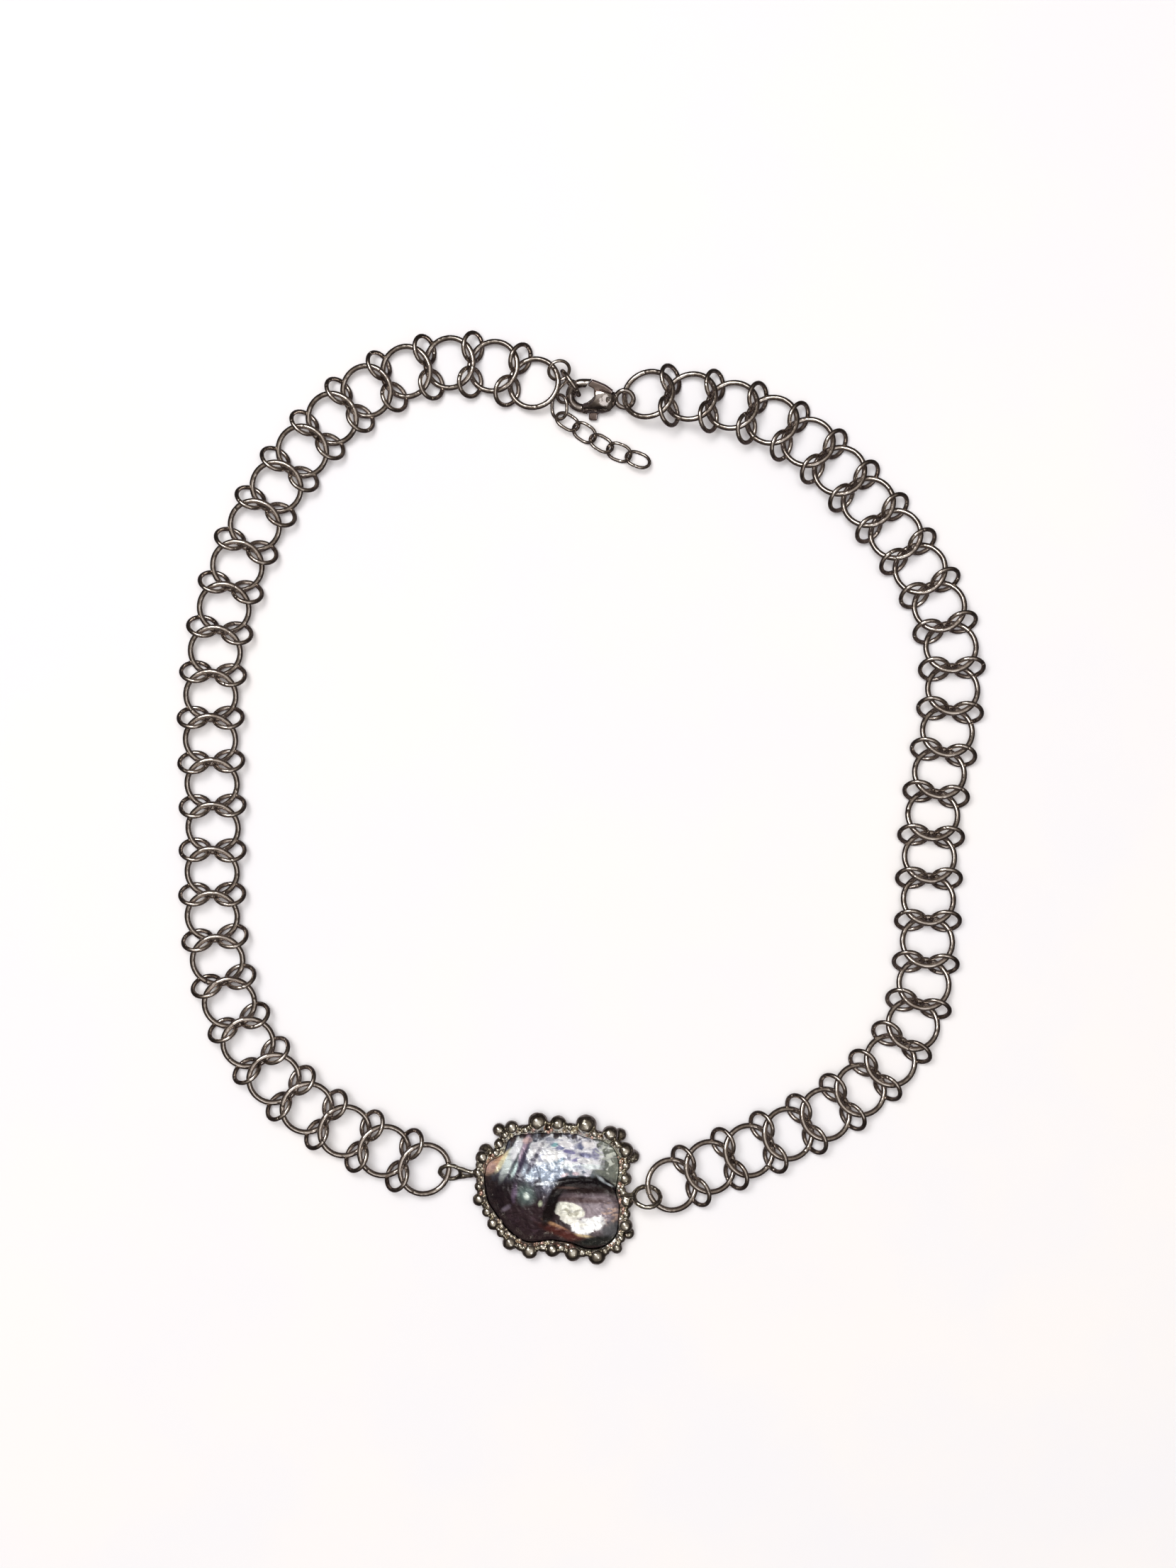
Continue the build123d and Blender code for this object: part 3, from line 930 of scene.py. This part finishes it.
@dataclass(frozen=True)
class NacreFinish:
    """Dark blister pearl: pale streaks above, brown-black below and a lilac hollow, with painted shade, painted
    highlights and painted reflections laid into its colours.
    """

    ground: Colour = (0.045, 0.030, 0.030)
    patches: tuple[Patch, ...] = NACRE_PATCHES
    islands: Drift = Drift(0.2, (0.7, 1.15, 1.0), 0.62, 1.2)
    island_edge: Span = (0.50, 0.60)
    ripples: Drift = Drift(0.25, (0.7, 1.5, 1.0), 0.9, 0.8)
    ripple_depth: float = 0.00022
    ripple_strength: float = 0.7
    shadow: Colour = (0.22, 0.22, 0.32)
    shadow_edge: Span = (0.50, 0.38)
    shadow_share: float = 0.35
    sheen: Colour = (0.45, 0.32, 0.42)
    sheen_blend: float = 0.35
    sheen_edge: Span = (0.1, 0.9)
    sheen_share: float = 0.07
    grain: float = 600.0
    roughness: Span = (0.16, 0.34)
    metallic: float = 0.25
    coat: float = 0.3
    coat_roughness: float = 0.05

    def material(self, wear: Tree, patch: Tree, middle: Vector) -> Material:
        """Builds the material.

        Args:
            wear: The group for handled surfaces.
            patch: The group for a frayed patch.
            middle: The pendant's middle, in metres.

        Returns:
            The material.
        """
        material, shader, surface = new_material("dark_nacre")
        place = shader.node(
            "Mapping", vector_type="TEXTURE", Vector=shader.object_place(), Location=middle,
            Scale=(1 / MM, 1 / MM, 1.0),
        ).outputs[0]
        ripple = self.ripples.value(shader, place)
        colour = self.painted(shader, place, patch)
        shadow = shader.spread(ripple, self.shadow_edge, self.shadow_share)
        colour = shader.mix(shadow, colour, self.shadow, "MULTIPLY")
        facing = shader.node("LayerWeight", Blend=self.sheen_blend).outputs["Facing"]
        colour = shader.mix(shader.spread(facing, self.sheen_edge, self.sheen_share), colour, self.sheen)
        worn = shader.group(wear, Grain=self.grain, Low=self.roughness[0], High=self.roughness[1])
        shader.fill(
            surface, Base_Color=colour, Roughness=worn.outputs["Roughness"], Metallic=self.metallic,
            Coat_Weight=self.coat, Coat_Roughness=self.coat_roughness,
        )
        add_bump(shader, surface, ripple, self.ripple_strength, self.ripple_depth)
        return material

    def painted(self, shader: Shader, place: Socket, patch: Tree) -> Socket:
        """Lays the patches over the ground, one after the other.

        Args:
            shader: The material's builder.
            place: Millimetres from the pendant's middle.
            patch: The group for a frayed patch.

        Returns:
            The painted colour.
        """
        islands = shader.spread(self.islands.value(shader, place), self.island_edge)
        colour: Socket | Colour = self.ground
        for row in self.patches:
            mask = shader.group(
                patch, Place=place, Middle=(*row.middle, 0), Turn=(0, 0, row.turn), Reach=(*row.reach, 1),
                Fray=row.fray, Soft=row.soft,
            ).outputs["Mask"]
            if row.islands:
                mask = shader.combine(mask, islands, "MULTIPLY")
            colour = shader.mix(shader.combine(mask, row.strength, "MULTIPLY"), colour, row.colour)
        return colour


# The necklace's sub-assemblies

@dataclass
class Strand:
    """One strand of large rings joined by pairs of small rings."""

    node: str
    name: str
    seed: int
    large_from: float = 8.0
    large_steps: int = 60
    small_steps: int = 40

    def build(self, finish: Material) -> Piece:
        """Stamps a master ring of each size on every ring's place.

        Args:
            finish: The rings' material.

        Returns:
            The strand as one piece.
        """
        draw = random.Random(self.seed)
        lies = lies_in(self.node)
        rings = []
        for is_large, steps in ((True, self.large_steps), (False, self.small_steps)):
            group = [lie for lie in lies if (lie.length > self.large_from) == is_large]
            size = group[0]
            master = WireLoop(size.length, size.length, size.wire, steps).build()
            rings += [stamped(master, lie.matrix(draw.uniform(0, FULL_TURN))) for lie in group]
            discard(master)
        return hand_over(joined(rings, self.name), Body.NECKLACE, finish, (self.node,))


@dataclass
class EndRings:
    """The jump ring and the ring that hangs on the clasp's hook."""

    node: str = "end_rings"
    seam_bearing: float = 2.2

    def build(self, finish: Material) -> Piece:
        """Builds a ring of each size where the frame has it.

        Args:
            finish: The rings' material.

        Returns:
            The rings as one piece.
        """
        rings = []
        for lie in lies_in(self.node):
            master = WireLoop(lie.length, lie.length, lie.wire).build()
            rings.append(stamped(master, lie.matrix(self.seam_bearing)))
            discard(master)
        return hand_over(joined(rings, "end_rings_wire"), Body.NECKLACE, finish, (self.node,))


@dataclass
class Extender:
    """The short chain of oval links."""

    node: str = "extender_chain"
    seam_gap: float = 0.03

    def build(self, finish: Material) -> Piece:
        """Stamps a master link on every link's place, with its seam on either side in turn.

        Args:
            finish: The links' material.

        Returns:
            The links as one piece.
        """
        lies = lies_in(self.node)
        size = lies[0]
        master = WireLoop(size.length, size.width, size.wire, seam_gap=self.seam_gap).build()
        links = [stamped(master, lie.matrix(math.pi * (index % 2))) for index, lie in enumerate(lies)]
        discard(master)
        return hand_over(joined(links, "extender_links"), Body.NECKLACE, finish, (self.node,))


@dataclass(frozen=True)
class CastPiece:
    """A solid of the frame, remeshed evenly and with its edges softened as casting leaves them.

    Smoothing counts the passes, and kept is the share of the triangles that stays.
    """

    node: str
    name: str
    slot: Slot
    voxel: float
    smoothing: int
    kept: float = 1.0
    body: Body = Body.NECKLACE

    def shape(self) -> Piece:
        """Remeshes and rounds a copy of the node.

        Returns:
            The piece, in millimetres.
        """
        piece = merged_copy(self.node, self.name)
        apply_modifier(piece, "REMESH", mode="VOXEL", voxel_size=self.voxel, adaptivity=0.0)
        apply_modifier(piece, "SMOOTH", factor=0.5, iterations=self.smoothing)
        if self.kept < 1.0:
            apply_modifier(piece, "DECIMATE", ratio=self.kept)
        return piece

    def dress(self, piece: Piece, finish: Material) -> Piece:
        """Shades a shaped piece and hands it over in its material."""
        shade(piece)
        return hand_over(piece, self.body, finish, (self.node,))


@dataclass
class Clasp:
    """The lobster clasp: its casting with crowned cheeks, the gate and the rivet."""

    casting: CastPiece = CastPiece("clasp_body", "clasp_casting", Slot.CLASP, voxel=0.045, smoothing=50, kept=0.42)
    gate: CastPiece = CastPiece("clasp_lever", "clasp_gate", Slot.CLASP, voxel=0.06, smoothing=45, body=Body.LEVER)
    rivet: CastPiece = CastPiece("clasp_pin", "clasp_rivet", Slot.CLASP, voxel=0.05, smoothing=3)
    # The crown's height and reach, from the rivet along the clasp and across it
    crown: float = 0.32
    belly_length: Span = (-2.2, 4.8)
    belly_width: Span = (-2.6, 3.0)
    # The cheeks' inner faces don't swell, and the swelling is full this much further out
    cheek_inside: float = 0.7
    cheek_fade: float = 0.25

    def build(self, steel: Material, gate_steel_painted_pink: Material) -> None:
        """Builds the clasp's three pieces.

        Args:
            steel: The casting's and the rivet's material.
            gate_steel_painted_pink: The gate's material.
        """
        casting = self.casting.shape()
        self.crown_cheeks(casting)
        self.casting.dress(casting, steel)
        self.gate.dress(self.gate.shape(), gate_steel_painted_pink)
        self.rivet.dress(self.rivet.shape(), steel)

    def crown_cheeks(self, piece: Piece) -> None:
        """Swells the clasp's two cheeks outwards, and leaves its eye and hook as they are.

        Args:
            piece: The clasp's casting, in millimetres.
        """
        joint = frame["joints"][0]
        pin = Vector(joint["pos_m"]) * MM
        axis = Vector(joint["axis"]).normalized()
        low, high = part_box("clasp_lever")
        along = (low + high) * (MM / 2) - pin
        along = (along - axis * along.dot(axis)).normalized()
        across = axis.cross(along)
        points = points_of(piece)
        offsets = points - np.array(pin)
        height = offsets @ np.array(axis)
        swell = np.ones(len(points))
        for direction, (start, end) in ((along, self.belly_length), (across, self.belly_width)):
            share = (offsets @ np.array(direction) - (start + end) / 2) / ((end - start) / 2)
            swell *= np.clip(1 - share ** 2, 0.0, 1.0)
        outer = np.clip((np.abs(height) - self.cheek_inside) / self.cheek_fade, 0.0, 1.0)
        lift = self.crown * swell * outer * np.sign(height)
        move_points(piece, points + lift[:, None] * np.array(axis))


@dataclass
class Pendant:
    """The soldered bezel with its balls and loops, and the free-form pearl with its rippled face."""

    middle: Vector
    bezel: CastPiece = CastPiece("pendant_frame", "solder_frame", Slot.FRAME, voxel=0.17, smoothing=4)
    pearl: CastPiece = CastPiece("pearl", "pearl_nacre", Slot.PEARL, voxel=0.16, smoothing=4)
    lumps: float = 0.07
    lump_size: float = 0.8
    # The pearl's ripples: their height, how far the face is sunk under them, and how they run
    ripple: float = 0.16
    sunk: float = 0.1
    fold_across: Span = (0.9, 0.35)
    fold_along: Span = (-0.1, 0.45)
    fold_scale: float = 0.75
    fold_fading: float = 0.9
    fold_step: float = 2.1
    fold_layers: int = 3
    fleck_scale: Span = (0.8, 1.3)
    fleck_layer: float = 4.0
    fleck_share: float = 0.5

    def build_bezel(self, finish: Material) -> Piece:
        """Builds the bezel, with its lumpy solder.

        Args:
            finish: Its material.

        Returns:
            The bezel.
        """
        bezel = self.bezel.shape()
        points = points_of(bezel)
        rise = np.array([noise.noise(Vector(point) / self.lump_size) for point in points])
        move_points(bezel, points + normals_of(bezel) * (rise * self.lumps)[:, None])
        return self.bezel.dress(bezel, finish)

    def build_pearl(self, finish: Material) -> Piece:
        """Builds the pearl, with its rippled face.

        Args:
            finish: Its material.

        Returns:
            The pearl.
        """
        pearl = self.pearl.shape()
        points = points_of(pearl)
        normals = normals_of(pearl)
        rise = np.array([self.ripple_at(Vector(point) - self.middle * MM) for point in points])
        facing = np.clip(normals[:, 2], 0.0, 1.0)
        move_points(pearl, points + normals * (rise * facing)[:, None])
        return self.pearl.dress(pearl, finish)

    def ripple_at(self, place: Vector) -> float:
        """Works out the height of the pearl's ripples.

        Args:
            place: Millimetres from the pendant's middle.

        Returns:
            How far the face rises there.
        """
        across = place.x * self.fold_across[0] + place.y * self.fold_across[1]
        along = place.x * self.fold_along[0] + place.y * self.fold_along[1]
        fold_place = Vector((across, along, 0.0)) * self.fold_scale
        folds = noise.fractal(fold_place, self.fold_fading, self.fold_step, self.fold_layers)
        fleck_place = (place.x * self.fleck_scale[0], place.y * self.fleck_scale[1], self.fleck_layer)
        flecks = noise.noise(Vector(fleck_place))
        return self.ripple * (folds + self.fleck_share * flecks) - self.sunk


@dataclass
class Granules:
    """Small grains of bare solder and copper on the bezel, just outside the pearl."""

    middle: Vector
    count: int = 95
    seed: int = 21
    radii: Span = (0.16, 0.42)
    outset: Span = (0.14, 0.80)
    wall_top: float = 3.07
    # Shares: of a grain's step along the outline, and of its radius
    wander: float = 0.4
    unevenness: float = 0.16
    standing: float = 0.35
    stretch: Span = (0.9, 1.5)
    flatness: float = 0.8
    most_turn: float = 6.0
    turn_axis: Triple = (0.3, 0.5, 0.8)
    bearings: int = 73

    def build(self, finish: Material) -> Piece:
        """Scatters copies of one uneven grain along the pearl's outline.

        Args:
            finish: The grains' material.

        Returns:
            The grains as one piece.
        """
        draw = random.Random(self.seed)
        bearings, reach = self.outline()
        master = self.grain()
        grains = []
        for index in range(self.count):
            bearing = (index + draw.uniform(-self.wander, self.wander)) * FULL_TURN / self.count
            radius = draw.uniform(*self.radii)
            distance = np.interp(bearing % FULL_TURN, bearings, reach) + draw.uniform(*self.outset)
            place = self.middle * MM + Vector((math.cos(bearing), math.sin(bearing), 0)) * distance
            place.z = self.wall_top + radius * self.standing
            turn = Matrix.Rotation(draw.uniform(0, self.most_turn), 4, Vector(self.turn_axis))
            size = Matrix.Diagonal((radius * draw.uniform(*self.stretch), radius, radius * self.flatness, 1.0))
            grains.append(stamped(master, Matrix.Translation(place) @ turn @ size))
        discard(master)
        return hand_over(joined(grains, "bezel_granules"), Body.NECKLACE, finish)

    def grain(self) -> Piece:
        """Models the uneven grain that is copied.

        Returns:
            A grain of radius 1 about the origin.
        """
        deselect_all()
        bpy.ops.mesh.primitive_ico_sphere_add(subdivisions=2, radius=1.0)
        master = bpy.context.object
        open_mesh(master)
        bpy.ops.transform.vertex_random(offset=self.unevenness, seed=self.seed)
        close_mesh()
        shade(master)
        return master

    def outline(self) -> tuple[np.ndarray, np.ndarray]:
        """Reads the pearl's outline.

        Returns:
            Bearings from the pendant's middle, and the pearl's reach at each, in millimetres.
        """
        offsets = points_of(frame["nodes"]["pearl"]) * MM - np.array(self.middle * MM)
        bearings = np.arctan2(offsets[:, 1], offsets[:, 0]) % FULL_TURN
        distances = np.hypot(offsets[:, 0], offsets[:, 1])
        steps = np.linspace(0, FULL_TURN, self.bearings)
        half_step = steps[1] / 2
        reach = []
        for step in steps:
            near = np.abs((bearings - step + math.pi) % FULL_TURN - math.pi) < half_step
            reach.append(distances[near].max())
        return steps, np.array(reach)


# The studio

@dataclass(frozen=True)
class Lamp:
    """One square soft light, aimed at the necklace, in metres and watts."""

    name: str
    place: Triple
    size: float
    power: float
    colour: Colour
    lights_floor: bool = True
    mirrored: bool = True


@dataclass
class Studio:
    """Floor, lights and camera of the photograph, in metres."""

    aim: Vector
    view_height: float = 0.2836
    camera_height: float = 0.6
    sensor: float = 32.0
    floor_size: float = 9.0
    floor_colours: tuple[Colour, Colour] = ((0.90, 0.885, 0.905), (0.93, 0.90, 0.89))
    mottle_scale: float = 26.0
    mottled: Span = (0.35, 0.68)
    floor_roughness: float = 0.8
    floor_gloss: float = 0.2
    # Brightness of the room from straight below, over the horizon, to straight above
    room: tuple[tuple[float, Colour], ...] = (
        (0.0, (0.62, 0.58, 0.66)),
        (0.10, (0.30, 0.27, 0.30)),
        (0.30, (0.036, 0.030, 0.029)),
        (0.62, (0.026, 0.021, 0.019)),
        (0.80, (0.13, 0.110, 0.096)),
        (0.91, (0.34, 0.30, 0.265)),
        (0.97, (0.66, 0.62, 0.58)),
        (1.0, (0.95, 0.92, 0.90)),
    )
    backdrop: Colour = (0.74, 0.73, 0.73)
    lamps: tuple[Lamp, ...] = (
        Lamp("key", (-0.30, 0.34, 1.1), 0.34, 3.2, (1.0, 0.985, 0.955)),
        Lamp("overhead_fill", (-0.12, 0.14, 1.6), 0.9, 18.2, (0.965, 0.98, 1.0), mirrored=False),
        Lamp("ceiling_panel", (-0.50, 0.62, 1.1), 0.62, 2.6, (1.0, 1.0, 1.0), lights_floor=False),
        Lamp("low_panel", (0.30, -0.62, 1.0), 0.42, 0.7, (0.95, 0.97, 1.0), lights_floor=False),
    )

    def build(self) -> None:
        """Sets up the whole studio."""
        self.add_floor()
        self.add_world()
        self.add_camera()
        for lamp in self.lamps:
            self.add_lamp(lamp)

    def add_floor(self) -> None:
        """Adds the pale surface that the necklace lies on, which metal doesn't mirror."""
        deselect_all()
        bpy.ops.mesh.primitive_plane_add(size=self.floor_size, location=(0, 0, 0))
        floor = bpy.context.object
        floor.name = "floor"
        material, shader, surface = new_material("pale_surface")
        mottle = shader.cloud(shader.object_place(), self.mottle_scale, detail=5.0)
        colour = shader.mix(shader.spread(mottle, self.mottled), *self.floor_colours)
        shader.fill(
            surface, Base_Color=colour, Roughness=self.floor_roughness, Specular_IOR_Level=self.floor_gloss,
        )
        floor.data.materials.append(material)
        floor.visible_glossy = False

    def add_world(self) -> None:
        """Adds the dim brown room that polished metal reflects, behind a pale backdrop."""
        world = bpy.data.worlds.new("dim_room")
        bpy.context.scene.world = world
        world.use_nodes = True
        shader = Shader(world.node_tree)
        height = shader.node("SeparateXYZ", Vector=shader.node("TexCoord").outputs["Generated"])
        share = shader.node("MapRange", Value=height.outputs["Z"], From_Min=-1.0)
        seen = shader.node("LightPath").outputs["Is Camera Ray"]
        colour = shader.mix(seen, shader.ramp(share.outputs["Result"], self.room), self.backdrop)
        shader.link(colour, world.node_tree.nodes["Background"].inputs["Color"])

    def add_lamp(self, lamp: Lamp) -> None:
        """Adds a soft light that points at the necklace.

        Args:
            lamp: The light.
        """
        data = bpy.data.lights.new(lamp.name, "AREA")
        data.size = lamp.size
        data.energy = lamp.power
        data.color = lamp.colour
        light = bpy.data.objects.new(lamp.name, data)
        light.location = lamp.place
        light.rotation_euler = (self.aim - Vector(lamp.place)).to_track_quat("-Z", "Y").to_euler()
        light.visible_glossy = lamp.mirrored
        light.visible_diffuse = lamp.lights_floor
        bpy.context.scene.collection.objects.link(light)

    def add_camera(self) -> None:
        """Adds the camera, looking straight down."""
        data = bpy.data.cameras.new("camera")
        data.sensor_fit = "VERTICAL"
        data.sensor_height = self.sensor
        data.lens = self.sensor * self.camera_height / self.view_height
        camera = bpy.data.objects.new("camera", data)
        camera.location = (self.aim.x, self.aim.y, self.camera_height)
        bpy.context.scene.collection.objects.link(camera)
        bpy.context.scene.camera = camera
        bpy.context.scene.view_settings.view_transform = "Standard"


def main() -> None:
    """Builds the necklace in order."""
    logging.basicConfig(level=logging.INFO, format="%(name)s: %(message)s")
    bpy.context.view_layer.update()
    wear = HandledSurface().tree()
    wire = SteelFinish(
        name="polished_wire", colour=(0.58, 0.52, 0.475), tarnish=(0.31, 0.255, 0.22), edge=(0.22, 0.20, 0.19),
        roughness=(0.05, 0.16), grain=500.0,
    ).material(wear)
    clasp_steel = SteelFinish(
        name="polished_clasp", colour=(0.46, 0.415, 0.39), tarnish=(0.25, 0.21, 0.195), edge=(0.20, 0.18, 0.17),
        roughness=(0.05, 0.13), grain=420.0,
    ).material(wear)
    # The gate's rosy steel colour is a painted pink reflection
    gate_steel_painted_pink = SteelFinish(
        name="gate_painted_pink_reflection", colour=(0.50, 0.42, 0.40), tarnish=(0.28, 0.21, 0.21), edge=(0.22, 0.18, 0.18),
        roughness=(0.05, 0.13), grain=420.0,
    ).material(wear)
    solder = SolderFinish().material(wear)
    nacre = NacreFinish().material(wear, FrayedPatch().tree(), PENDANT_MIDDLE)
    bare_solder = GrainFinish().material(wear)
    Granules(PENDANT_MIDDLE).build(bare_solder)
    Strand("chain_left", "left_strand", seed=3).build(wire)
    Strand("chain_right", "right_strand", seed=8).build(wire)
    EndRings().build(wire)
    Extender().build(wire)
    pendant = Pendant(PENDANT_MIDDLE)
    pendant.build_bezel(solder)
    Clasp().build(clasp_steel, gate_steel_painted_pink)
    pendant.build_pearl(nacre)
    Studio(VIEW_MIDDLE).build()


if __name__ == "__main__":
    main()
